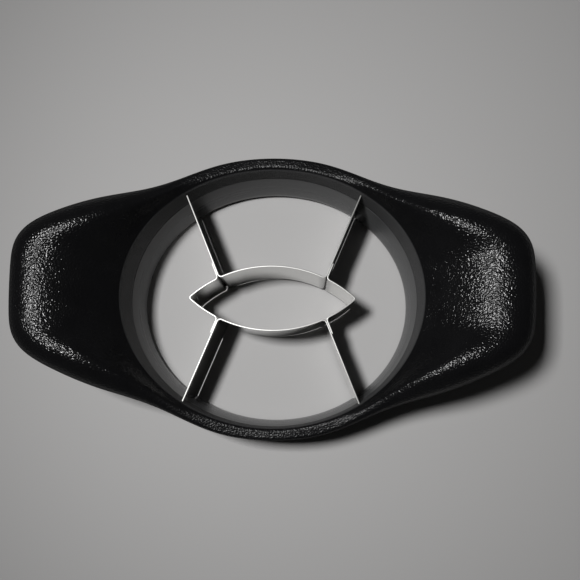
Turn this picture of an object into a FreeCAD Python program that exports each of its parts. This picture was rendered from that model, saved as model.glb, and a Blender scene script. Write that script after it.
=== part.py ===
import FreeCAD, Part
import math
import os

# Mango slicer: an oval ring with two raised wing handles, a soft grip moulded over
# a rigid frame core, and four bent steel strips that cut round the flat stone.
# Units are millimetres. +X runs along the handles, +Z points up, and the origin is
# the centre of the oval foot that the slicer stands on.

# Driving dimensions
SIZES = {
    # ring
    "opening_length": 122.4,
    "opening_width": 107.0,
    "opening_draft": 0.8,
    "core_wall": 3.4,
    "bond_gap": 0.2,
    "ring_skin": 1.7,
    "rim_height": 28.6,
    "rim_rise": 6.4,
    "rim_roll": 1.35,
    "rim_root": 9.5,
    "rim_heel": 6.5,
    "lip_depth": 6.5,
    "foot_height": 3.0,
    "foot_step": 0.8,
    "foot_flare": 0.3,
    # wings
    "wing_reach": 38.3,
    "wing_height": 51.5,
    "wing_end_width": 28.0,
    "wing_waist_width": 75.0,
    "neck_setback": 13.2,
    "neck_fill": 3.5,
    "waist_offset": 8.8,
    "shoulder_setback": 18.0,
    "shoulder_draw": 5.8,
    "corner_setback": 7.5,
    "corner_spread": 11.6,
    "end_crown": 1.3,
    "end_spread": 4.6,
    "climb_start": 20.0,
    "nose_thickness": 18.0,
    "nose_undercut": 6.0,
    "nose_depth": 7.2,
    "wing_edge_round": 12.0,
    "rest_roll": 1.2,
    "rest_run": 2.2,
    "rest_rise": 3.0,
    "belly_depth": 11.5,
    "belly_share": 0.35,
    "wing_root": 20.0,
    "wing_heel": 11.0,
    # tongues inside the wings
    "tongue_thickness": 4.6,
    "tongue_root_rise": 2.5,
    "tongue_margin": 9.5,
    "tongue_side_margin": 15.0,
    "tongue_tip_drop": 8.0,
    # blades
    "strip_thickness": 0.8,
    "blade_lift": 2.2,
    "blade_sink": 1.6,
    "eye_length": 69.2,
    "eye_width": 26.8,
    "joint_spacing": 45.6,
    "spoke_angle": 67.6,
    "bend_radius": 1.5,
    "tip_radius": 0.9,
    "tab_length": 6.8,
    "edge_thickness": 0.2,
    "bevel_height": 1.8,
    "slot_depth": 2.5,
    "slot_clearance": 0.15,
}

doc = FreeCAD.newDocument("mango_slicer")
sheet = doc.addObject("Spreadsheet::Sheet", "Sizes")
for row, (alias, value) in enumerate(SIZES.items(), start=1):
    sheet.set("A%d" % row, alias)
    sheet.set("B%d" % row, "%g" % value)
    sheet.setAlias("B%d" % row, alias)
doc.recompute()


def size(alias):
    return float(sheet.get(alias))


def vec(x, y, z=0.0):
    return FreeCAD.Vector(x, y, z)


def smooth(t):
    t = min(max(t, 0.0), 1.0)
    return t * t * (3.0 - 2.0 * t)


def blend(ring_value, wing_value, share):
    return ring_value + (wing_value - ring_value) * share


def closed_curve(points):
    """Closed cubic spline that passes the points; each control point leans out by a
    sixth of the bend there, because such a spline runs inside its control points."""
    count = len(points)
    controls = []
    for place, point in enumerate(points):
        before = points[place - 1]
        after = points[(place + 1) % count]
        controls.append(point - (before + after - point * 2) / 6)
    curve = Part.BSplineCurve()
    curve.buildFromPolesMultsKnots(controls, [1] * (count + 1), list(range(count + 1)), True, 3)
    return curve


# Sizes that several pieces share
OPEN_X = size("opening_length") / 2
OPEN_Y = size("opening_width") / 2
RING_WALL = size("core_wall") + size("bond_gap") + size("ring_skin")
HALF_LENGTH = OPEN_X + size("wing_reach")
HALF_WIDTH = OPEN_Y + RING_WALL
TALL = 2 * size("wing_height")


# Plan outline
# One smooth closed curve: the oval of the ring, a neck that fills the corner between
# ring and wing, the long sides of the wings and their blunt ends. A quarter is
# worked out and mirrored. The neck starts to fill well back along the ring: each
# pair gives a share of the way to the neck and the share of its fill there.
NECK_START = (0.42, 0.23)
NECK_RUN = (0.7, 0.29)


def ring_side(x):
    """Half width of the ring's own outer oval."""
    return HALF_WIDTH * math.sqrt(1.0 - (x / (OPEN_X + RING_WALL)) ** 2)


def outline_quarter():
    neck_x = OPEN_X - size("neck_setback")
    half_waist = size("wing_waist_width") / 2
    half_end = size("wing_end_width") / 2
    points = [(0.0, HALF_WIDTH)]
    for along, share in (NECK_START, NECK_RUN, (1.0, 1.0)):
        x = neck_x * along
        points.append((x, ring_side(x) + size("neck_fill") * share))
    points.append((OPEN_X + size("waist_offset"), half_waist))
    points.append((HALF_LENGTH - size("shoulder_setback"), half_waist - size("shoulder_draw")))
    points.append((HALF_LENGTH - size("corner_setback"), half_end + size("corner_spread")))
    points.append((HALF_LENGTH - size("end_crown"), half_end + size("end_spread")))
    points.append((HALF_LENGTH, 0.0))
    return points


def outline_curve():
    quarter = outline_quarter()
    upper_right = [vec(x, y) for x, y in quarter]
    lower_right = [vec(x, -y) for x, y in reversed(quarter[:-1])]
    lower_left = [vec(-x, -y) for x, y in quarter[1:]]
    upper_left = [vec(-x, y) for x, y in reversed(quarter[1:-1])]
    return closed_curve(upper_right + lower_right + lower_left + upper_left)


OUTLINE = outline_curve()
OUTLINE_EDGE = OUTLINE.toShape()


def outline_at(angle):
    """Radius of the outline in a direction, and how far the ray leans on it."""
    along = vec(math.cos(angle), math.sin(angle))
    ray = Part.makeLine(vec(0, 0), along * (2 * HALF_LENGTH))
    distance, points, info = OUTLINE_EDGE.distToShape(ray)
    point = points[0][0]
    tangent = OUTLINE.tangent(OUTLINE.parameter(point))[0]
    lean = abs(along.cross(tangent).z)
    return point.Length, lean


def oval_radius(half_x, half_y, angle):
    return half_x * half_y / math.hypot(half_y * math.cos(angle), half_x * math.sin(angle))


# Heights along the rim
RING_ROUND = RING_WALL / 2
WALL_TOP = size("rim_height") - RING_ROUND - size("foot_flare")


def rim_lift(x):
    """How much higher the rim stands than at the middle of the ring."""
    return size("rim_rise") * (x / OPEN_X) ** 2


def parting_height(x):
    """Height of the line where the grip's lip meets the core in the opening."""
    return WALL_TOP - size("lip_depth") + rim_lift(x)


# Grip surface
# The outside of the grip is one closed spline surface. Its sections stand in
# vertical planes round the ring; each runs from the top of the opening's wall over
# the rim and the wing's thumb rest, round the outer edge and back under to the foot.
SECTION_ANGLES = [0, 5, 10, 15, 21, 29, 39, 51, 69, 90]
RING_EDGE = 0.75 * RING_ROUND
LEAST_LEAN = 0.75
RAMP_RUN = 0.55
RAMP_RISE = 0.69
EDGE_SHARE = 0.4
NOSE_SHARE = 0.55


def section_angles():
    """Directions of the sections, once round from the right wing's end."""
    quarter = SECTION_ANGLES
    second = [180 - a for a in reversed(quarter[:-1])]
    third = [180 + a for a in quarter[1:]]
    fourth = [360 - a for a in reversed(quarter[1:-1])]
    return [math.radians(a) for a in quarter + second + third + fourth]


def grip_section(angle):
    """Radius and height of the section's control points, from rim to foot."""
    inner = oval_radius(OPEN_X, OPEN_Y, angle)
    outer, lean = outline_at(angle)
    foot_margin = RING_WALL + size("foot_flare")
    root = oval_radius(OPEN_X + foot_margin, OPEN_Y + foot_margin, angle)
    reach = abs(outer * math.cos(angle))
    share = smooth((reach - size("climb_start")) / (HALF_LENGTH - size("climb_start")))
    edge_round = blend(RING_EDGE, size("wing_edge_round"), share) / max(lean, LEAST_LEAN)
    half_nose = blend(RING_ROUND + size("foot_flare"), size("nose_thickness") / 2, share)
    crest = blend(size("rim_height"), size("wing_height"), share)
    equator = crest - half_nose
    wall_top = WALL_TOP + rim_lift(inner * math.cos(angle))
    lip_reach = inner + blend(RING_WALL / 6, size("rest_run"), share)
    lip_top = wall_top + blend(RING_ROUND, size("rest_rise"), share)
    crest_reach = outer - edge_round
    nose_reach = outer - blend(0.0, size("nose_undercut"), share)
    return [
        (inner, wall_top),
        (inner, wall_top + blend(size("rim_roll"), size("rest_roll"), share)),
        (lip_reach, lip_top),
        (blend(lip_reach, crest_reach, RAMP_RUN), blend(lip_top, crest, RAMP_RISE)),
        (crest_reach, crest),
        (outer - EDGE_SHARE * edge_round, crest),
        (outer, equator + NOSE_SHARE * half_nose),
        (outer, equator - half_nose / 2),
        (nose_reach, equator - size("nose_depth")),
        (blend(root, nose_reach, size("belly_share")), equator - size("belly_depth")),
        (root + share, blend(size("rim_root"), size("wing_root"), share)),
        (root, blend(size("rim_heel"), size("wing_heel"), share)),
        (root, size("foot_height")),
    ]


def grip_rows():
    """Control rows of the grip surface: one closed curve for each section point."""
    angles = section_angles()
    sections = [grip_section(angle) for angle in angles]
    rows = []
    for place in range(len(sections[0])):
        points = []
        for angle, section in zip(angles, sections):
            radius, height = section[place]
            points.append(vec(radius * math.cos(angle), radius * math.sin(angle), height))
        rows.append(closed_curve(points))
    return rows


def skin_surface(rows):
    """Smooth surface whose control rows are closed curves with the same knots."""
    first = rows[0]
    net = [list(poles) for poles in zip(*[row.getPoles() for row in rows])]
    spans = len(rows) - 3
    across_counts = [4] + [1] * (spans - 1) + [4]
    surface = Part.BSplineSurface()
    surface.buildFromPolesMultsKnots(net, first.getMultiplicities(), across_counts,
                                     first.getKnots(), list(range(spans + 1)),
                                     True, False, 3, 3)
    return surface


def lowered(curve, height):
    """The same closed curve, laid flat at another height."""
    flat = curve.copy()
    for place, pole in enumerate(curve.getPoles(), start=1):
        flat.setPole(place, vec(pole.x, pole.y, height))
    return flat


def grip_block():
    """Solid under the grip surface: outside, flat foot side and the opening's wall."""
    rows = grip_rows()
    outside = skin_surface(rows).toShape()
    outer_edge = rows[-1].toShape()
    inner_edge = lowered(rows[0], size("foot_height")).toShape()
    under = Part.makeRuledSurface(outer_edge, inner_edge)
    wall = Part.makeRuledSurface(inner_edge, rows[0].toShape())
    return Part.makeSolid(Part.makeShell([outside, under, wall]))


# Building blocks
def add_ellipse(name, margin, height):
    """Ellipse that stands off the opening by a margin, at a height."""
    ellipse = doc.addObject("Part::Ellipse", name)
    ellipse.setExpression("MajorRadius", "Sizes.opening_length / 2 + " + margin)
    ellipse.setExpression("MinorRadius", "Sizes.opening_width / 2 + " + margin)
    ellipse.setExpression("Placement.Base.z", height)
    return ellipse


def add_oval(name, margin, bottom, top):
    """Upright oval block that stands off the opening by a margin."""
    block = doc.addObject("Part::Extrusion", name)
    block.Base = add_ellipse(name + "_base", margin, bottom)
    block.DirMode = "Custom"
    block.Dir = vec(0, 0, 1)
    block.setExpression("LengthFwd", "%s - (%s)" % (top, bottom))
    block.Solid = True
    return block


def add_drafted_opening(name):
    """Oval block that fills the opening, a little smaller at the foot than above."""
    block = doc.addObject("Part::Loft", name)
    block.Sections = [add_ellipse(name + "_low", "0 - Sizes.opening_draft", "0"),
                      add_ellipse(name + "_high", "0", "Sizes.rim_height")]
    block.Solid = True
    block.Ruled = True
    return block


def join(kind, name, first, second):
    result = doc.addObject("Part::" + kind, name)
    result.Base = first
    result.Tool = second
    return result


def face_in(corners):
    return Part.Face(Part.makePolygon(corners + corners[:1]))


def add_extrusion(name, face, direction, length):
    base = doc.addObject("Part::Feature", name + "_face")
    base.Shape = face
    block = doc.addObject("Part::Extrusion", name)
    block.Base = base
    block.DirMode = "Custom"
    block.Dir = direction
    block.LengthFwd = length
    block.Solid = True
    return block


def add_saddle(name, grow):
    """Block above the parting line, which dips between the wings."""
    reach = OPEN_X + 2 * RING_WALL
    left = vec(-reach, -TALL, parting_height(reach) + grow)
    middle = vec(0, -TALL, parting_height(0) + grow)
    right = vec(reach, -TALL, parting_height(reach) + grow)
    dip = Part.Arc(left, middle, right).toShape()
    sides = Part.makePolygon([right, vec(reach, -TALL, TALL), vec(-reach, -TALL, TALL), left])
    face = Part.Face(Part.Wire([dip] + sides.Edges))
    return add_extrusion(name, face, vec(0, 1, 0), 2 * TALL)


def add_tongues(name, grow):
    """Flat bars that climb into the wings and narrow with the wings' outline."""
    root_x = OPEN_X + size("core_wall") / 2
    tip_x = HALF_LENGTH - size("tongue_margin")
    half = size("tongue_thickness") / 2 + grow
    root_z = parting_height(OPEN_X) + size("tongue_root_rise")
    tip_z = size("wing_height") - size("tongue_tip_drop")
    end_z = tip_z + (tip_z - root_z) / (tip_x - root_x) * grow
    rising = [(root_x, root_z - half), (tip_x + grow, end_z - half),
              (tip_x + grow, end_z + half), (root_x, root_z + half)]
    half_waist = size("wing_waist_width") / 2 - size("tongue_side_margin") + grow
    half_tip = size("wing_end_width") / 2 + grow
    shoulder = (HALF_LENGTH - size("shoulder_setback"), half_waist - size("shoulder_draw"))
    plan = [(root_x, half_waist), shoulder, (tip_x + grow, half_tip)]
    plan += [(x, -y) for x, y in reversed(plan)]
    tongues = []
    for side, label in ((1, "_right"), (-1, "_left")):
        profile = [vec(side * x, -HALF_WIDTH, z) for x, z in rising]
        outline = [vec(side * x, y) for x, y in plan]
        bar = add_extrusion(name + label, face_in(profile), vec(0, 1, 0), 2 * HALF_WIDTH)
        trim = add_extrusion(name + label + "_plan", face_in(outline), vec(0, 0, 1), TALL)
        tongues.append(join("Common", name + label + "_tongue", bar, trim))
    return join("Fuse", name, tongues[0], tongues[1])


def add_skeleton(name, margin, bottom, grow):
    """Oval wall and tongues without opening or slots, grown on every side."""
    wall = add_oval(name + "_wall", margin, bottom, "2 * Sizes.wing_height")
    dipped = join("Cut", name + "_dipped", wall, add_saddle(name + "_saddle", grow))
    return join("Fuse", name, dipped, add_tongues(name + "_tongues", grow))


# Blade outlines
# The eye's long sides are arcs of one radius. The back and front strips run from slot
# to slot: down a spoke, along the eye and out by the next spoke. The left and right
# strips close the eye's tips, each with two short tabs welded to the spokes.
EYE_X = size("eye_length") / 2
EYE_Y = size("eye_width") / 2
EYE_RADIUS = (EYE_X ** 2 + EYE_Y ** 2) / (2 * EYE_Y)
EYE_CENTRE = vec(0, EYE_Y - EYE_RADIUS)
JOINT_X = size("joint_spacing") / 2
JOINT = vec(JOINT_X, math.sqrt(EYE_RADIUS ** 2 - JOINT_X ** 2) + EYE_CENTRE.y)
SPOKE_TURN = math.radians(size("spoke_angle"))
SPOKE = vec(math.cos(SPOKE_TURN), math.sin(SPOKE_TURN))
ACROSS = vec(SPOKE.y, -SPOKE.x)
HALF_STRIP = size("strip_thickness") / 2
BEND = size("bend_radius")


def spoke_start(side):
    """Start of a strip's middle line on a spoke; side 1 is next to the eye's tip."""
    return JOINT + ACROSS * (side * HALF_STRIP)


def spoke_length():
    """Distance along the long strip's spoke from the joint to the opening's wall."""
    start = spoke_start(-1)
    along = (start.x / OPEN_X ** 2) * SPOKE.x + (start.y / OPEN_Y ** 2) * SPOKE.y
    square = (SPOKE.x / OPEN_X) ** 2 + (SPOKE.y / OPEN_Y) ** 2
    rest = (start.x / OPEN_X) ** 2 + (start.y / OPEN_Y) ** 2 - 1.0
    return (-along + math.sqrt(along ** 2 - square * rest)) / square


def bend_centre(side):
    """Centre of the bend that touches both the spoke's line and the eye's arc."""
    start = spoke_start(side) + ACROSS * (side * BEND)
    gap = start - EYE_CENTRE
    along = gap.dot(SPOKE)
    reach = EYE_RADIUS + BEND
    return start + SPOKE * (math.sqrt(along ** 2 - gap.dot(gap) + reach ** 2) - along)


def angle_of(vector):
    return math.atan2(vector.y, vector.x)


def spoke_piece(start, end):
    return ("line", start, end)


def arc_piece(centre, radius, first, last):
    """Arc that runs from one angle to another, either way round."""
    return ("arc", centre, radius, first, last)


def mirrored(path, axis):
    """The path's mirror image in the X or Y axis, run the other way."""
    result = []
    for piece in reversed(path):
        if piece[0] == "line":
            start, end = [flipped(point, axis) for point in piece[1:]]
            result.append(spoke_piece(end, start))
        else:
            kind, centre, radius, first, last = piece
            turns = [-a if axis == "X" else math.pi - a for a in (last, first)]
            result.append(arc_piece(flipped(centre, axis), radius, turns[0], turns[1]))
    return result


def flipped(point, axis):
    return vec(point.x, -point.y) if axis == "X" else vec(-point.x, point.y)


def tip_path():
    """Right strip: a tab on the outside of each spoke, and the eye's tip between."""
    centre = bend_centre(1)
    eye_turn = angle_of(centre - EYE_CENTRE)
    tip = size("tip_radius")
    tip_centre = vec(math.sqrt((EYE_RADIUS - tip) ** 2 - EYE_CENTRE.y ** 2), 0)
    tip_turn = angle_of(tip_centre - EYE_CENTRE)
    tab_end = spoke_start(1) + SPOKE * size("tab_length")
    half = [
        spoke_piece(tab_end, centre - ACROSS * BEND),
        arc_piece(centre, BEND, angle_of(ACROSS * -1), eye_turn + math.pi),
        arc_piece(EYE_CENTRE, EYE_RADIUS, eye_turn, tip_turn),
    ]
    fold = arc_piece(tip_centre, tip, tip_turn, -tip_turn)
    return half + [fold] + mirrored(half, "X")


def side_path():
    """Back strip: out of a slot, down a spoke, along the eye and out by the next."""
    centre = bend_centre(-1)
    eye_turn = angle_of(centre - EYE_CENTRE)
    slot_end = spoke_start(-1) + SPOKE * (spoke_length() + size("slot_depth") - size("slot_clearance"))
    half = [
        arc_piece(EYE_CENTRE, EYE_RADIUS, math.pi / 2, eye_turn),
        arc_piece(centre, BEND, eye_turn + math.pi, angle_of(ACROSS) + 2 * math.pi),
        spoke_piece(centre + ACROSS * BEND, slot_end),
    ]
    return mirrored(half, "Y") + half


def beside(piece, shift):
    """Edge that runs beside a path's piece, shifted to the left of its heading."""
    if piece[0] == "line":
        start, end = piece[1:]
        turn = angle_of(end - start)
        left = vec(-math.sin(turn), math.cos(turn)) * shift
        return Part.LineSegment(start + left, end + left)
    kind, centre, radius, first, last = piece
    grown = radius - shift if last > first else radius + shift
    circle = Part.Circle(centre, vec(0, 0, 1), grown)
    return Part.ArcOfCircle(circle, min(first, last), max(first, last))


def band(path, width):
    """Closed outline of a strip of the given width along a path."""
    left = [beside(piece, width / 2) for piece in path]
    right = [beside(piece, -width / 2) for piece in path]
    start_cap = Part.LineSegment(left[0].StartPoint, right[0].StartPoint)
    end_cap = Part.LineSegment(left[-1].EndPoint, right[-1].EndPoint)
    return left + right + [start_cap, end_cap]


def add_sketch(body, name, outline, height):
    sketch = body.newObject("Sketcher::SketchObject", name)
    plane = [f for f in body.Origin.OriginFeatures if f.Role == "XY_Plane"][0]
    sketch.AttachmentSupport = [(plane, "")]
    sketch.MapMode = "FlatFace"
    sketch.setExpression("AttachmentOffset.Base.z", height)
    sketch.addGeometry(outline, False)
    return sketch


def add_blade(name, path, turn):
    """Strip on edge: a ground cutting edge below, the full thickness above it."""
    body = doc.addObject("PartDesign::Body", name)
    ground = add_sketch(body, name + "_edge", band(path, size("edge_thickness")), "Sizes.blade_lift")
    full = add_sketch(body, name + "_strip", band(path, size("strip_thickness")),
                      "Sizes.blade_lift + Sizes.bevel_height")
    bevel = body.newObject("PartDesign::AdditiveLoft", name + "_bevel")
    bevel.Profile = ground
    bevel.Sections = [full]
    bevel.Ruled = True
    doc.recompute()
    strip = body.newObject("PartDesign::Pad", name + "_pad")
    strip.Profile = full
    strip.setExpression("Length", "Sizes.rim_height - Sizes.blade_sink - Sizes.blade_lift"
                                  " - Sizes.bevel_height")
    body.Tip = strip
    body.Placement = FreeCAD.Placement(vec(0, 0), FreeCAD.Rotation(vec(0, 0, 1), turn))
    body.Label = name
    return body


def add_slots(name):
    """Pockets for the four strip ends, through the wall and up into the grip's lip."""
    lead = 2 * RING_WALL
    start = spoke_start(-1) + SPOKE * (spoke_length() - lead)
    boxes = []
    for side_x, side_y in ((1, 1), (-1, 1), (-1, -1), (1, -1)):
        box = doc.addObject("Part::Box", "%s_%d" % (name, len(boxes) + 1))
        box.Length = lead + size("slot_depth")
        box.setExpression("Width", "Sizes.strip_thickness + 2 * Sizes.slot_clearance")
        box.setExpression("Height", "Sizes.rim_height - Sizes.blade_sink - Sizes.blade_lift"
                                    " + 2 * Sizes.slot_clearance")
        turn = math.atan2(side_y * SPOKE.y, side_x * SPOKE.x)
        right = vec(math.sin(turn), -math.cos(turn)) * (HALF_STRIP + size("slot_clearance"))
        corner = vec(side_x * start.x, side_y * start.y) + right
        corner.z = size("blade_lift") - size("slot_clearance")
        box.Placement = FreeCAD.Placement(corner, FreeCAD.Rotation(vec(0, 0, 1), math.degrees(turn)))
        boxes.append(box)
    slots = doc.addObject("Part::MultiFuse", name)
    slots.Shapes = boxes
    return slots


# Assembly
slots = add_slots("slot")
opening = add_drafted_opening("opening")

skeleton = add_skeleton("core_body", "Sizes.core_wall", "0", 0.0)
foot_margin = "Sizes.core_wall + Sizes.bond_gap + Sizes.ring_skin + Sizes.foot_flare - Sizes.foot_step"
foot = add_oval("core_foot", foot_margin, "0", "Sizes.foot_height")
core_solid = join("Fuse", "core_solid", skeleton, foot)
core_ring = join("Cut", "core_ring", core_solid, opening)
frame_core = join("Cut", "frame_core", core_ring, slots)
frame_core.Label = "frame_core"

block = doc.addObject("Part::Feature", "grip_block")
block.Shape = grip_block()
socket = add_skeleton("socket", "Sizes.core_wall + Sizes.bond_gap", "-Sizes.bond_gap", size("bond_gap"))
grip_shell = join("Cut", "grip_shell", block, socket)
soft_grip = join("Cut", "soft_grip", grip_shell, slots)
soft_grip.Label = "soft_grip"

parts = [frame_core, soft_grip]
parts.append(add_blade("pit_blade_right", tip_path(), 0))
parts.append(add_blade("pit_blade_left", tip_path(), 180))
parts.append(add_blade("pit_blade_back", side_path(), 0))
parts.append(add_blade("pit_blade_front", side_path(), 180))

# Checks and export
doc.recompute()
for item in doc.Objects:
    if "Invalid" in item.State or "Error" in item.State:
        raise RuntimeError("%s failed to build" % item.Label)
os.makedirs("parts", exist_ok=True)
for part in parts:
    shape = part.Shape
    if shape.isNull() or not shape.isValid() or len(shape.Solids) != 1:
        raise RuntimeError("%s is not one valid solid" % part.Label)
    shape.exportStep("parts/%s.step" % part.Label)
    print("%-16s %9.1f mm3" % (part.Label, shape.Volume))
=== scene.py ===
import math

import bmesh
import bpy
import numpy as np
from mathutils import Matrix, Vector


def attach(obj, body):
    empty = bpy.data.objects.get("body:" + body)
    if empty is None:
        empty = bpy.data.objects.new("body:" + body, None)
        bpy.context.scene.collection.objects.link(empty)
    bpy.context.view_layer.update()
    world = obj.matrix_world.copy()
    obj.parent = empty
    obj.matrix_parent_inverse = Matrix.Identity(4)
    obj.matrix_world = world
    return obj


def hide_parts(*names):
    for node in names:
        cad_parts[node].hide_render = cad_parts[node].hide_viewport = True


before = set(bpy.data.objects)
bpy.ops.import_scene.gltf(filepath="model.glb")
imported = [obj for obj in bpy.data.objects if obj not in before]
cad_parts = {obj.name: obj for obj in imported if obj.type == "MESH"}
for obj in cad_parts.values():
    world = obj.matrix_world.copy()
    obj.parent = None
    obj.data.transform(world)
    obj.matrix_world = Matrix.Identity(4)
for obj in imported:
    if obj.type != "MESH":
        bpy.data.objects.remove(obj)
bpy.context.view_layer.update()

# Blade frame
# Four strips of stainless steel stand on edge and cut round the mango's flat stone. The
# back and front strips are bent from one piece each and end in the ring's wall; the two
# short tip strips are folded in a V and spot-welded to the spokes by their bent tabs.
MM = 0.001
OPENING = (61.2, 53.5)          # half axes of the opening
STRIP_THICKNESS = 0.6
STRIP_FOOT = 1.2                # lower edge above the board
STRIP_TOP = 27.0
STRIP_CORNER = 0.12             # radius along the strip's edges
CORNER_BAND = 0.4               # from a corner to the row of points that keeps a face flat
GROUND_EDGE = 0.2
GROUND_HEIGHT = 1.8
EYE = (34.6, 13.4)              # half length and half width
JOINT_X = 22.35
SPOKE_TURN = math.radians(67.6)
BEND = 1.5
FOLD = 0.9
TAB = 6.8
SEAT = 2.35                     # how far a strip's end sits in the wall
EYE_RADIUS = (EYE[0] ** 2 + EYE[1] ** 2) / (2 * EYE[1])
EYE_CENTRE = np.array([0.0, EYE[1] - EYE_RADIUS])
JOINT = np.array([JOINT_X, math.sqrt(EYE_RADIUS ** 2 - JOINT_X ** 2) + EYE_CENTRE[1]])
SPOKE = np.array([math.cos(SPOKE_TURN), math.sin(SPOKE_TURN)])
ACROSS = np.array([SPOKE[1], -SPOKE[0]])
STEEL = (0.72, 0.718, 0.7)
# the next colour is painted shade on the ground foot edge, tinted near-black there; it also dulls
# the sheared top edge and darkens the steel round the joints
DULL_STEEL_AND_SHADE = (0.06, 0.058, 0.054)
SHEARED_DEPTH = 0.14            # from the top down to where the sheared edge's look ends
EDGE_BLEND = 0.05
# distances from a joint over which the steel is tinted darker
JOINT_DARKENING = (0.5, 3.5)          # the tint is full within the first and gone at the second


def arc(centre, radius, start, end, steps):
    """Points on an arc from one point to another, the shorter way round."""
    first = math.atan2(*(start - centre)[::-1])
    turn = (math.atan2(*(end - centre)[::-1]) - first + math.pi) % (2 * math.pi) - math.pi
    angles = first + turn * np.linspace(0, 1, steps + 1)
    return centre + radius * np.column_stack([np.cos(angles), np.sin(angles)])


def bend_of(side):
    """Start on the spoke, centre and end of the bend from spoke to eye."""
    start = JOINT + ACROSS * side * (STRIP_THICKNESS / 2 + BEND)
    gap = start - EYE_CENTRE
    along = gap @ SPOKE
    centre = start + SPOKE * (math.sqrt(along ** 2 - gap @ gap + (EYE_RADIUS + BEND) ** 2) - along)
    outward = (centre - EYE_CENTRE) / (EYE_RADIUS + BEND)
    return centre - ACROSS * side * BEND, centre, EYE_CENTRE + outward * EYE_RADIUS


def seated_end(start):
    """End of a spoke that leaves a point, goes through the opening's wall and sits in it."""
    scale = np.array(OPENING)
    origin = start / scale
    heading = SPOKE / scale
    along = origin @ heading
    pace = heading @ heading
    reach = (math.sqrt(along ** 2 - pace * (origin @ origin - 1)) - along) / pace
    return start + SPOKE * (reach + SEAT)


def tip_route():
    """Middle line of the right tip strip, from tab to tab round the fold."""
    start, centre, end = bend_of(1)
    fold_centre = np.array([math.sqrt((EYE_RADIUS - FOLD) ** 2 - EYE_CENTRE[1] ** 2), 0.0])
    fold_start = EYE_CENTRE + (fold_centre - EYE_CENTRE) * EYE_RADIUS / (EYE_RADIUS - FOLD)
    half = np.vstack([
        JOINT + ACROSS * STRIP_THICKNESS / 2 + SPOKE * TAB,
        arc(centre, BEND, start, end, 8),
        arc(EYE_CENTRE, EYE_RADIUS, end, fold_start, 8)[1:],
        arc(fold_centre, FOLD, fold_start, fold_centre + (FOLD, 0), 5)[1:],
    ])
    return np.vstack([half, half[-2::-1] * (1, -1)])


def long_route():
    """Middle line of the back strip, from wall to wall round the eye."""
    start, centre, end = bend_of(-1)
    half = np.vstack([
        arc(EYE_CENTRE, EYE_RADIUS, np.array([0.0, EYE[1]]), end, 14),
        arc(centre, BEND, end, start, 8)[1:],
        seated_end(JOINT - ACROSS * STRIP_THICKNESS / 2),
    ])
    return np.vstack([half[:0:-1] * (-1, 1), half])


def arithmetic(tree, kind, first, second=0):
    """Result of a sum with two values, each a number or a socket."""
    node = tree.nodes.new("ShaderNodeMath")
    node.operation = kind
    for socket, value in zip(node.inputs, (first, second)):
        if isinstance(value, (int, float)):
            socket.default_value = value
        else:
            tree.links.new(value, socket)
    return node.outputs[0]


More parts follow.
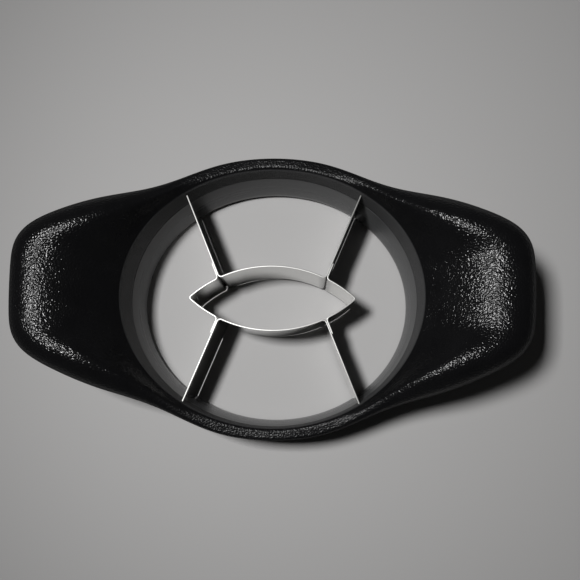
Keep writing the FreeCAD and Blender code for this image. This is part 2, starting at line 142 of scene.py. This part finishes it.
def strip_tree():
    """Geometry nodes that sweep a strip's section along its route. Rows of points close to
    the corners keep the tall faces flat, so that they mirror what a flat strip does."""
    tree = bpy.data.node_groups.new("bent_strip", "GeometryNodeTree")
    sockets = tree.interface
    sockets.new_socket("Route", in_out="INPUT", socket_type="NodeSocketGeometry")
    sizes = {
        "Thickness": STRIP_THICKNESS,
        "Foot": STRIP_FOOT,
        "Top": STRIP_TOP,
        "Edge": GROUND_EDGE,
        "Ground": GROUND_HEIGHT,
        "Corner": STRIP_CORNER,
    }
    for name, size in sizes.items():
        socket = sockets.new_socket(name, in_out="INPUT", socket_type="NodeSocketFloat")
        socket.default_value = size * MM
    sockets.new_socket("Finish", in_out="INPUT", socket_type="NodeSocketMaterial")
    sockets.new_socket("Strip", in_out="OUTPUT", socket_type="NodeSocketGeometry")
    nodes, links = tree.nodes, tree.links
    given = nodes.new("NodeGroupInput").outputs

    def point(across, height):
        node = nodes.new("ShaderNodeCombineXYZ")
        links.new(across, node.inputs["X"])
        links.new(arithmetic(tree, "MULTIPLY", height, -1), node.inputs["Y"])
        return node.outputs[0]

    half = arithmetic(tree, "MULTIPLY", given["Thickness"], 0.5)
    edge = arithmetic(tree, "MULTIPLY", given["Edge"], 0.5)
    left = arithmetic(tree, "MULTIPLY", half, -1)
    thin = arithmetic(tree, "MULTIPLY", edge, -1)
    shoulder = arithmetic(tree, "ADD", given["Foot"], given["Ground"])
    above = arithmetic(tree, "ADD", shoulder, CORNER_BAND * MM)
    below = arithmetic(tree, "SUBTRACT", given["Top"], CORNER_BAND * MM)
    corners = [
        point(thin, given["Foot"]),
        point(left, shoulder),
        point(left, above),
        point(left, below),
        point(left, given["Top"]),
        point(half, given["Top"]),
        point(half, below),
        point(half, above),
        point(half, shoulder),
        point(edge, given["Foot"]),
    ]
    section = nodes.new("GeometryNodeCurvePrimitiveCircle")
    section.inputs["Resolution"].default_value = len(corners)
    choose = nodes.new("GeometryNodeIndexSwitch")
    choose.data_type = "VECTOR"
    while len(choose.index_switch_items) < len(corners):
        choose.index_switch_items.new()
    links.new(nodes.new("GeometryNodeInputIndex").outputs[0], choose.inputs[0])
    for socket, corner in zip(list(choose.inputs)[1:], corners):
        links.new(corner, socket)
    place = nodes.new("GeometryNodeSetPosition")
    links.new(section.outputs[0], place.inputs["Geometry"])
    links.new(choose.outputs[0], place.inputs["Position"])
    rounded = nodes.new("GeometryNodeFilletCurve")
    rounded.mode = "POLY"
    rounded.inputs["Count"].default_value = 3
    rounded.inputs["Limit Radius"].default_value = True
    links.new(place.outputs[0], rounded.inputs["Curve"])
    links.new(given["Corner"], rounded.inputs["Radius"])

    def measured(curve):
        node = nodes.new("GeometryNodeCaptureAttribute")
        node.capture_items.new("FLOAT", "length")
        links.new(curve, node.inputs["Geometry"])
        links.new(nodes.new("GeometryNodeSplineParameter").outputs["Length"], node.inputs["length"])
        return node.outputs["Geometry"], node.outputs["length"]

    upright = nodes.new("GeometryNodeSetCurveNormal")
    upright.mode = "Z_UP"
    links.new(given["Route"], upright.inputs["Curve"])
    route, along = measured(upright.outputs[0])
    outline, around = measured(rounded.outputs[0])
    sweep = nodes.new("GeometryNodeCurveToMesh")
    sweep.inputs["Fill Caps"].default_value = True
    links.new(route, sweep.inputs["Curve"])
    links.new(outline, sweep.inputs["Profile Curve"])
    chart = nodes.new("ShaderNodeCombineXYZ")
    links.new(along, chart.inputs["X"])
    links.new(around, chart.inputs["Y"])
    store = nodes.new("GeometryNodeStoreNamedAttribute")
    store.data_type = "FLOAT2"
    store.domain = "CORNER"
    store.inputs["Name"].default_value = "UVMap"
    links.new(sweep.outputs[0], store.inputs["Geometry"])
    links.new(chart.outputs[0], store.inputs["Value"])
    real = nodes.new("GeometryNodeRealizeInstances")
    links.new(store.outputs[0], real.inputs[0])
    finish = nodes.new("GeometryNodeSetMaterial")
    links.new(real.outputs[0], finish.inputs["Geometry"])
    links.new(given["Finish"], finish.inputs["Material"])
    links.new(finish.outputs[0], nodes.new("NodeGroupOutput").inputs[0])
    return tree


def add_piece(name, mesh):
    piece = bpy.data.objects.new(name, mesh)
    bpy.context.scene.collection.objects.link(piece)
    return piece


def bent_strip(name, route, turned, finish):
    """One strip along its route, or the same strip turned half way round."""
    points = -route if turned else route
    line = bpy.data.curves.new(name + "_route", "CURVE")
    line.dimensions = "3D"
    run = line.splines.new("POLY")
    run.points.add(len(points) - 1)
    for knot, (x, y) in zip(run.points, points):
        knot.co = (x * MM, y * MM, 0, 1)
    carrier = add_piece(name + "_route", line)
    sweep = carrier.modifiers.new("strip", "NODES")
    sweep.node_group = STRIP_TREE
    for socket in STRIP_TREE.interface.items_tree:
        if socket.name == "Finish":
            sweep[socket.identifier] = finish
    depsgraph = bpy.context.evaluated_depsgraph_get()
    mesh = bpy.data.meshes.new_from_object(carrier.evaluated_get(depsgraph), depsgraph=depsgraph)
    bpy.data.objects.remove(carrier)
    mesh.name = name
    mesh.shade_smooth()
    mesh.set_sharp_from_angle(angle=math.radians(25))
    return add_piece(name, mesh)


def new_material(name, colour, roughness, metallic=0.0):
    """Material with its plain values set; returns its tree and shader too."""
    material = bpy.data.materials.new(name)
    material.use_nodes = True
    shader = material.node_tree.nodes["Principled BSDF"]
    shader.inputs["Base Color"].default_value = (*colour, 1)
    shader.inputs["Roughness"].default_value = roughness
    shader.inputs["Metallic"].default_value = metallic
    return material, material.node_tree, shader


def mapped(tree, source, scale=(1, 1, 1)):
    """Coordinates of one kind, stretched."""
    place = tree.nodes.new("ShaderNodeTexCoord")
    stretch = tree.nodes.new("ShaderNodeMapping")
    stretch.inputs["Scale"].default_value = scale
    tree.links.new(place.outputs[source], stretch.inputs["Vector"])
    return stretch.outputs[0]


def axes_of(tree, vector):
    """X, Y and Z of a vector."""
    split = tree.nodes.new("ShaderNodeSeparateXYZ")
    tree.links.new(vector, split.inputs[0])
    return split.outputs


def distance_out(tree, x, y):
    """How far off a place is, from how far it lies along two axes."""
    squares = [arithmetic(tree, "MULTIPLY", side, side) for side in (x, y)]
    return arithmetic(tree, "SQRT", arithmetic(tree, "ADD", *squares))


def noise(tree, vector, scale, detail):
    grain = tree.nodes.new("ShaderNodeTexNoise")
    grain.inputs["Detail"].default_value = detail
    tree.links.new(vector, grain.inputs["Vector"])
    if isinstance(scale, float):
        grain.inputs["Scale"].default_value = scale
    else:
        tree.links.new(scale, grain.inputs["Scale"])
    return grain.outputs["Fac"]


def between(tree, value, low, high, to_low, to_high):
    """Value carried from one range to another and held at its ends."""
    ramp = tree.nodes.new("ShaderNodeMapRange")
    for socket, number in zip(list(ramp.inputs)[1:5], (low, high, to_low, to_high)):
        socket.default_value = number
    tree.links.new(value, ramp.inputs["Value"])
    return ramp.outputs[0]


def spread(tree, pattern, low, high):
    """Noise carried to a range; nearly all of it lies between 0.3 and 0.7."""
    return between(tree, pattern, 0.3, 0.7, low, high)


def bump(tree, shader, height, distance):
    relief = tree.nodes.new("ShaderNodeBump")
    relief.inputs["Strength"].default_value = 1.0
    relief.inputs["Distance"].default_value = distance
    tree.links.new(height, relief.inputs["Height"])
    tree.links.new(relief.outputs[0], shader.inputs["Normal"])


def tinted(tree, shader, mask, plain, other):
    """Base colour that goes from one tint to the other as the mask rises."""
    blend = tree.nodes.new("ShaderNodeMix")
    blend.data_type = "RGBA"
    tints = {"A": plain, "B": other}
    for socket in blend.inputs:
        if socket.type == "RGBA":
            socket.default_value = (*tints[socket.name], 1)
    tree.links.new(mask, blend.inputs[0])
    result = [socket for socket in blend.outputs if socket.type == "RGBA"][0]
    tree.links.new(result, shader.inputs["Base Color"])


def strip_finish():
    """Rolled strip with fine lines along it, sheared on top and ground at its foot. The ground
    foot is painted near-black as shade, the sheared top is dulled, and the steel is tinted darker
    round the joints."""
    material, tree, shader = new_material("polished_strip", STEEL, 0.12, 1.0)
    place = axes_of(tree, mapped(tree, "Object"))
    blend = EDGE_BLEND * MM
    sheared_from = (STRIP_TOP - SHEARED_DEPTH) * MM
    top = between(tree, place["Z"], sheared_from, sheared_from + blend, 0, 1)
    ground_to = (STRIP_FOOT + GROUND_HEIGHT) * MM
    bevel = between(tree, place["Z"], ground_to - blend, ground_to + blend, 1, 0)
    cut = arithmetic(tree, "ADD", top, bevel)
    rolled = noise(tree, mapped(tree, "UV", (60, 9000, 1)), 1.0, 3.0)
    sheared = noise(tree, mapped(tree, "UV", (5200, 900, 1)), 1.0, 3.0)
    smooth = spread(tree, rolled, 0.06, 0.12)
    rough = spread(tree, sheared, 0.4, 0.5)
    swap = tree.nodes.new("ShaderNodeMix")
    for socket, value in zip((swap.inputs[0], swap.inputs[2], swap.inputs[3]), (cut, smooth, rough)):
        tree.links.new(value, socket)
    tree.links.new(swap.outputs[0], shader.inputs["Roughness"])
    bump(tree, shader, rolled, 0.002 * MM)
    from_joint = []
    for axis, middle in zip("XY", JOINT):
        mirrored = arithmetic(tree, "ABSOLUTE", place[axis])
        from_joint.append(arithmetic(tree, "SUBTRACT", mirrored, float(middle) * MM))
    away = distance_out(tree, *from_joint)
    # darker round the joints where the strips meet; the tint follows the rolled lines
    halo = between(tree, away, JOINT_DARKENING[0] * MM, JOINT_DARKENING[1] * MM, 1.4, 0)
    joint_dark = arithmetic(tree, "MULTIPLY", halo, rolled)
    # painted shade: the ground foot edge takes the near-black tint in full, and the sheared top
    # takes part of it
    edges = arithmetic(tree, "ADD", arithmetic(tree, "MULTIPLY", top, 0.63), bevel)
    tinted(tree, shader, arithmetic(tree, "MAXIMUM", edges, joint_dark), STEEL, DULL_STEEL_AND_SHADE)
    return material


STRIP_TREE = strip_tree()
strip_steel = strip_finish()
strips = [
    ("pit_blade_right", tip_route(), False),
    ("pit_blade_left", tip_route(), True),
    ("pit_blade_back", long_route(), False),
    ("pit_blade_front", long_route(), True),
]
for name, route, turned in strips:
    strip = bent_strip(name + "_strip", route, turned, strip_steel)
    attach(strip, "root")
    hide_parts(name)

# Frame core
# The hard core is a satin moulding in dark grey plastic, shot round the ends of the two
# long strips. Its drafted wall lines the opening, and a flat flange at the bottom is
# the foot that the slicer stands on; the rest is buried in the grip.
DRAFT = 1.8
CORE_WALL = 3.4
RING_WALL = 5.3
FOOT_FLARE = 0.3
FOOT_STEP = 0.8
FOOT_HEIGHT = 3.0
PARTING = 19.0                  # height of the line where core meets grip
CORE_EDGES = (0, 1, 11, 12, 14)     # rows of the section that stay sharp
RUBBED_AND_SHADED = (4.0, 24.0)            # heights between which the rubbed foot turns dull and painted shade darkens the wall
CORE_GREY = (0.07, 0.071, 0.072)
# the darker grey is painted shade on the upper part of the wall
CORE_DARK = (0.05, 0.051, 0.052)
PATCHES_PER_METRE = 140.0
FINE_GRAIN = 2.6                # how many times finer the second grain is


def leaning_out(points):
    """Control points whose closed smooth curve passes close to the given points."""
    before = np.roll(points, 1, axis=0)
    after = np.roll(points, -1, axis=0)
    return points - (before + after - 2 * points) / 6


def round_opening(margin, angles):
    """Radius in each direction of an oval that lies a margin outside the opening's."""
    half_x = OPENING[0] + margin
    half_y = OPENING[1] + margin
    return half_x * half_y / np.hypot(half_y * np.cos(angles), half_x * np.sin(angles))


def ring_mesh(name, rows, angles, creased):
    """Closed ring: rows of radius and height all round, joined last row to first."""
    mesh = bpy.data.meshes.new(name)
    bm = bmesh.new()
    crease = bm.edges.layers.float.new("crease_edge")
    loops = []
    for radius, height in rows:
        radius = np.broadcast_to(radius, angles.shape)
        height = np.broadcast_to(height, angles.shape)
        points = np.column_stack([radius * np.cos(angles), radius * np.sin(angles), height])
        loops.append([bm.verts.new(point * MM) for point in leaning_out(points)])
    count = len(angles)
    for row, loop in enumerate(loops):
        above = loops[(row + 1) % len(loops)]
        for k in range(count):
            bm.faces.new((loop[k], above[k], above[(k + 1) % count], loop[(k + 1) % count]))
    for row in creased:
        for k in range(count):
            bm.edges.get((loops[row][k], loops[row][(k + 1) % count]))[crease] = 1.0
    bmesh.ops.recalc_face_normals(bm, faces=bm.faces)
    for face in bm.faces:
        face.smooth = True
    bm.to_mesh(mesh)
    bm.free()
    return mesh


def round_off(piece):
    smooth = piece.modifiers.new("smooth", "SUBSURF")
    smooth.levels = 3
    smooth.render_levels = 3


def core_rows(angles):
    """Section of the core from the parting line down the wall and round the foot."""
    inner = round_opening(0, angles)
    foot = round_opening(-DRAFT, angles)
    flange = round_opening(RING_WALL + FOOT_FLARE - FOOT_STEP, angles)
    back = round_opening(CORE_WALL, angles)
    return [
        (inner + 0.18, PARTING),
        (inner + 0.02, PARTING - 0.25),
        (inner - 0.05, PARTING - 1.5),
        (foot + 0.1, 5.0),
        (foot + 0.2, 2.6),
        (foot + 0.8, 0.8),
        (foot + 2.0, 0.1),
        (flange - 1.0, 0.0),
        (flange - 0.3, 0.0),
        (flange, 0.3),
        (flange, 1.0),
        (flange, FOOT_HEIGHT),
        (back, FOOT_HEIGHT),
        (back, PARTING - 1.0),
        (back, PARTING),
    ]


def grain_group():
    """Spark-eroded mould texture, with its relief in metres: a grain and a finer one on
    it, each given by how steep its bumps are, and the broad unevenness under them."""
    group = bpy.data.node_groups.new("mould_grain", "ShaderNodeTree")
    for name in ("Grains per Metre", "Steepness", "Fine Steepness", "Unevenness"):
        group.interface.new_socket(name, in_out="INPUT", socket_type="NodeSocketFloat")
    for name in ("Height", "Patches"):
        group.interface.new_socket(name, in_out="OUTPUT", socket_type="NodeSocketFloat")
    given = group.nodes.new("NodeGroupInput").outputs
    place = group.nodes.new("ShaderNodeTexCoord").outputs["Object"]
    broad = noise(group, place, PATCHES_PER_METRE, 3.0)
    height = arithmetic(group, "MULTIPLY", broad, given["Unevenness"])
    for finer, steepness in ((1.0, given["Steepness"]), (FINE_GRAIN, given["Fine Steepness"])):
        per_metre = arithmetic(group, "MULTIPLY", given["Grains per Metre"], finer)
        grains = noise(group, place, per_metre, 0.0)
        relief = arithmetic(group, "DIVIDE", steepness, per_metre)
        height = arithmetic(group, "ADD", height, arithmetic(group, "MULTIPLY", grains, relief))
    result = group.nodes.new("NodeGroupOutput")
    group.links.new(height, result.inputs["Height"])
    group.links.new(broad, result.inputs["Patches"])
    return group


def add_grain(tree, per_metre, steepness, fine_steepness, unevenness):
    """Height and patches of the mould texture at one grain size."""
    grain = tree.nodes.new("ShaderNodeGroup")
    grain.node_tree = MOULD_GRAIN
    for socket, value in zip(grain.inputs, (per_metre, steepness, fine_steepness, unevenness)):
        socket.default_value = value
    return grain.outputs["Height"], grain.outputs["Patches"]


def core_finish():
    """Satin wall with faint rings where the plastic flowed round the tool; it is duller near the
    parting line, and rubbed smoother towards the foot. Its colour is darkened towards the parting
    line as painted shade."""
    material, tree, shader = new_material("satin_core", (0.04, 0.041, 0.042), 0.4)
    shader.inputs["Specular IOR Level"].default_value = 0.3
    up = axes_of(tree, mapped(tree, "Object"))["Z"]
    upper = between(tree, up, RUBBED_AND_SHADED[0] * MM, RUBBED_AND_SHADED[1] * MM, 0, 1)
    height, patches = add_grain(tree, 3600.0, 0.05, 0.05, 0.02 * MM)
    bump(tree, shader, height, 1.0)
    flow = noise(tree, mapped(tree, "Object", (18, 18, 420)), 1.0, 2.0)
    satin = between(tree, upper, 0, 1, 0.14, 0.4)
    uneven = spread(tree, flow, 0.0, 0.08)
    tree.links.new(arithmetic(tree, "ADD", satin, uneven), shader.inputs["Roughness"])
    shade = arithmetic(tree, "MULTIPLY", arithmetic(tree, "ADD", flow, patches), 0.4)
    # painted shade: the wall's colour darkens towards the parting line; the flow rings and patches
    # vary it at random
    darker = arithmetic(tree, "SUBTRACT", arithmetic(tree, "ADD", upper, shade), 0.4)
    tinted(tree, shader, darker, CORE_GREY, CORE_DARK)
    return material


MOULD_GRAIN = grain_group()
core_angles = np.radians(np.arange(0, 360, 10))
core_mesh = ring_mesh("core_ring", core_rows(core_angles), core_angles, CORE_EDGES)
core = add_piece("core_ring", core_mesh)
round_off(core)
core.data.materials.append(core_finish())
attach(core, "root")
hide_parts("frame_core")

# Soft grip
# The grip is one overmoulding of black rubbery plastic with a spark-eroded grain. It
# covers the ring's outside, rolls over the rim into the opening and swells into the
# two raised wings that the palms press on.
WING_REACH = 38.3
HALF_LENGTH = OPENING[0] + WING_REACH
HALF_WIDTH = OPENING[1] + RING_WALL
RIM_HEIGHT = 28.6
RIM_RISE = 6.4                  # how much higher the rim is at the wings
WALL_TOP = RIM_HEIGHT - RING_WALL / 2 - FOOT_FLARE
WING_HEIGHT = 51.5
HALF_WAIST = 37.5
HALF_END = 14.0
NECK_SETBACK = 13.2
NECK_FILL = 3.5
CLIMB_START = 20.0              # distance from the middle where the rim starts to rise
NOSE = 18.0
NOSE_UNDERCUT = 6.0
WING_EDGE = 12.0
REST_RUN = 2.2
REST_RISE = 3.0
BELLY_SHARE = 0.35
CLEARANCE = 0.1                 # between the grip and the core's wall
FOOT_CLEARANCE = 0.02
GRIP_BLACK = (0.003, 0.003, 0.0033)
# the grey is painted reflection of the bright floor on the lip inside the opening; a little of it
# gives the grain's patches their random tone
TONE_AND_REFLECTION_GREY = (0.045, 0.045, 0.046)
GRIP_EDGES = (0, 1, 14, 15, 16, 17)     # rows of the section that stay sharp
SECTION_ANGLES = [0, 5, 10, 15, 21, 29, 39, 51, 69, 90]


def all_round(quarter):
    """Directions in degrees, given for a quarter, carried once round in radians."""
    second = [180 - a for a in reversed(quarter[:-1])]
    third = [180 + a for a in quarter[1:]]
    fourth = [360 - a for a in reversed(quarter[1:-1])]
    return np.radians(quarter + second + third + fourth)


def ring_side(x):
    return HALF_WIDTH * math.sqrt(1 - (x / (OPENING[0] + RING_WALL)) ** 2)


def plan_outline():
    """Points close together along the slicer's outline, seen from above."""
    neck = OPENING[0] - NECK_SETBACK
    quarter = np.array([
        (0.0, HALF_WIDTH),
        (neck * 0.42, ring_side(neck * 0.42) + NECK_FILL * 0.23),
        (neck * 0.7, ring_side(neck * 0.7) + NECK_FILL * 0.29),
        (neck, ring_side(neck) + NECK_FILL),
        (OPENING[0] + 8.8, HALF_WAIST),
        (HALF_LENGTH - 18.0, HALF_WAIST - 5.8),
        (HALF_LENGTH - 7.5, HALF_END + 11.6),
        (HALF_LENGTH - 1.3, HALF_END + 4.6),
        (HALF_LENGTH, 0.0),
    ])
    corners = np.vstack([
        quarter,
        quarter[-2::-1] * (1, -1),
        quarter[1:] * (-1, -1),
        quarter[-2:0:-1] * (-1, 1),
    ])
    controls = leaning_out(corners)
    share = np.linspace(0, 1, 24, endpoint=False)[:, None, None]
    before, here, after, beyond = (np.roll(controls, -k, axis=0)[None] for k in range(4))
    curve = ((1 - share) ** 3 * before + (3 * share ** 3 - 6 * share ** 2 + 4) * here
             + (-3 * share ** 3 + 3 * share ** 2 + 3 * share + 1) * after + share ** 3 * beyond) / 6
    return curve.transpose(1, 0, 2).reshape(-1, 2)


def radius_of(outline, angles):
    """Radius of the outline and how squarely a ray meets it, in each direction."""
    turn = np.arctan2(outline[:, 1], outline[:, 0])
    radius = np.hypot(outline[:, 0], outline[:, 1])
    order = np.argsort(turn)
    step = 0.01
    behind, around, ahead = (
        np.interp(angles + offset, turn[order], radius[order], period=2 * math.pi)
        for offset in (-step, 0, step)
    )
    slope = (ahead - behind) / (2 * step)
    return around, around / np.hypot(around, slope)


def mix(ring, wing, share):
    return ring + (wing - ring) * share


def wall_top(angles):
    """Height up to which the grip's lip stands upright, which is higher at the wings."""
    along = round_opening(0, angles) * np.cos(angles) / OPENING[0]
    return WALL_TOP + RIM_RISE * along ** 2


def grip_rows(angles):
    """Section of the grip: from the parting line up the lip, over the rim, round the wing,
    down to the foot and back up behind the core's wall."""
    inner = round_opening(0, angles)
    outer, square = radius_of(plan_outline(), angles)
    root = round_opening(RING_WALL + FOOT_FLARE, angles)
    climb = (np.abs(outer * np.cos(angles)) - CLIMB_START) / (HALF_LENGTH - CLIMB_START)
    climb = np.clip(climb, 0, 1)
    share = climb ** 2 * (3 - 2 * climb)
    edge = mix(0.375 * RING_WALL, WING_EDGE, share) / np.maximum(square, 0.75)
    half_nose = mix(RING_WALL / 2 + FOOT_FLARE, NOSE / 2, share)
    crest = mix(RIM_HEIGHT, WING_HEIGHT, share)
    middle = crest - half_nose
    top = wall_top(angles)
    lip_top = top + mix(RING_WALL / 2, REST_RISE, share)
    lip_reach = inner + mix(RING_WALL / 6, REST_RUN, share)
    crest_reach = outer - edge
    nose_reach = outer - NOSE_UNDERCUT * share
    hidden = inner + CORE_WALL + CLEARANCE
    return [
        (inner + 0.3, PARTING + CLEARANCE),
        (inner, PARTING + 0.4),
        (inner, top),
        (inner, top + mix(1.35, 1.2, share)),
        (lip_reach, lip_top),
        (mix(lip_reach, crest_reach, 0.55), mix(lip_top, crest, 0.69)),
        (crest_reach, crest),
        (outer - 0.4 * edge, crest),
        (outer, middle + 0.55 * half_nose),
        (outer, middle - half_nose / 2),
        (nose_reach, middle - 7.2),
        (mix(root, nose_reach, BELLY_SHARE), middle - 11.5),
        (root + share, mix(9.5, 20.0, share)),
        (root, mix(6.5, 11.0, share)),
        (root, FOOT_HEIGHT + 0.5),
        (root - 0.5, FOOT_HEIGHT + FOOT_CLEARANCE),
        (hidden, FOOT_HEIGHT + FOOT_CLEARANCE),
        (hidden, PARTING + CLEARANCE),
    ]


def grip_finish():
    """Near-black rubbery plastic whose grain glitters where it mirrors a lamp, and hides
    its gloss at a slant. The lip inside the opening is worn dull, and its grey is painted reflection
    of the bright floor; the ring between the wings is a little duller than they are."""
    material, tree, shader = new_material("grained_grip", (0.006, 0.006, 0.0065), 0.3)
    shader.inputs["Specular IOR Level"].default_value = 0.15
    height, patches = add_grain(tree, 1620.0, 0.31, 0.09, 0.04 * MM)
    bump(tree, shader, height, 1.0)
    in_openings = (1 / (OPENING[0] * MM), 1 / (OPENING[1] * MM), 0)
    place = axes_of(tree, mapped(tree, "Object", in_openings))
    out = distance_out(tree, place["X"], place["Y"])
    lip = between(tree, out, 1.001, 1.008, 1, 0)
    worn = arithmetic(tree, "MULTIPLY", lip, 0.38)
    rim = between(tree, arithmetic(tree, "ABSOLUTE", place["X"]), 0.65, 0.95, 0.13, 0)
    facing = tree.nodes.new("ShaderNodeLayerWeight").outputs["Facing"]
    slanted = between(tree, facing, 0.45, 0.85, 0, 0.6)
    off_lip = between(tree, out, 1.02, 1.05, 0, 1)
    glancing = arithmetic(tree, "MULTIPLY", slanted, off_lip)
    gloss = spread(tree, patches, 0.17, 0.21)
    for more in (worn, rim, glancing):
        gloss = arithmetic(tree, "ADD", gloss, more)
    tree.links.new(gloss, shader.inputs["Roughness"])
    # painted reflection: the lip inside the opening is tinted grey for the bright floor it mirrors;
    # the patches vary the black a little at random
    greyer = arithmetic(tree, "ADD", arithmetic(tree, "MULTIPLY", patches, 0.04), lip)
    tinted(tree, shader, greyer, GRIP_BLACK, TONE_AND_REFLECTION_GREY)
    return material


grip_angles = all_round(SECTION_ANGLES)
grip_mesh = ring_mesh("grip", grip_rows(grip_angles), grip_angles, GRIP_EDGES)
grip = add_piece("grip", grip_mesh)
round_off(grip)
grip.data.materials.append(grip_finish())
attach(grip, "root")
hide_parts("soft_grip")

# Stage
# A plain pale surface to stand on, one near soft lamp above the left wing that shines
# across the slicer, and a dim room that is paler at the horizon than overhead.
FLOOR_GREY = (0.365, 0.36, 0.357)
LAMP_PLACE = (-0.108, 0.023, 0.383)
LAMP_AIM = (0.33, 0.0, 0.0)
HORIZON_LIGHT = 0.2
OVERHEAD_LIGHT = 0.006
PICTURE = 580                   # width and height of the picture
FOCAL_LENGTH = 500              # in the same unit
AXIS_ROW = 360.75               # where the camera's axis meets the picture, from its top
SENSOR = 36

bpy.ops.mesh.primitive_plane_add(size=6, location=(0, 0, 0))
floor = bpy.context.object
floor.name = "floor"
floor_paint = new_material("pale_floor", FLOOR_GREY, 0.75)[0]
floor.data.materials.append(floor_paint)

lamp_data = bpy.data.lights.new("soft_lamp", "AREA")
lamp_data.shape = "RECTANGLE"
lamp_data.size = 0.062
lamp_data.size_y = 0.056
lamp_data.energy = 2.05
lamp = bpy.data.objects.new("soft_lamp", lamp_data)
lamp.location = LAMP_PLACE
beam = Vector(LAMP_AIM) - lamp.location
lamp.rotation_euler = beam.to_track_quat("-Z", "Y").to_euler()
bpy.context.scene.collection.objects.link(lamp)

world = bpy.data.worlds.new("room")
world.use_nodes = True
sky = world.node_tree
up = axes_of(sky, mapped(sky, "Generated"))["Z"]
level = between(sky, up, 0.0, 0.4, HORIZON_LIGHT, OVERHEAD_LIGHT)
sky.links.new(level, sky.nodes["Background"].inputs["Strength"])
sky.nodes["Background"].inputs["Color"].default_value = (1, 1, 1, 1)
bpy.context.scene.world = world

camera_data = bpy.data.cameras.new("camera")
camera_data.lens = SENSOR * FOCAL_LENGTH / PICTURE
camera_data.sensor_width = SENSOR
camera_data.shift_y = (AXIS_ROW - PICTURE / 2) / PICTURE
camera_data.clip_start = 0.01
camera = bpy.data.objects.new("camera", camera_data)
camera.location = (0.014611, -0.034164, 0.232163)
camera.rotation_euler = (0.0409, 0.03236, 0.01349)
bpy.context.scene.collection.objects.link(camera)
bpy.context.scene.camera = camera
bpy.context.scene.view_settings.view_transform = "Standard"
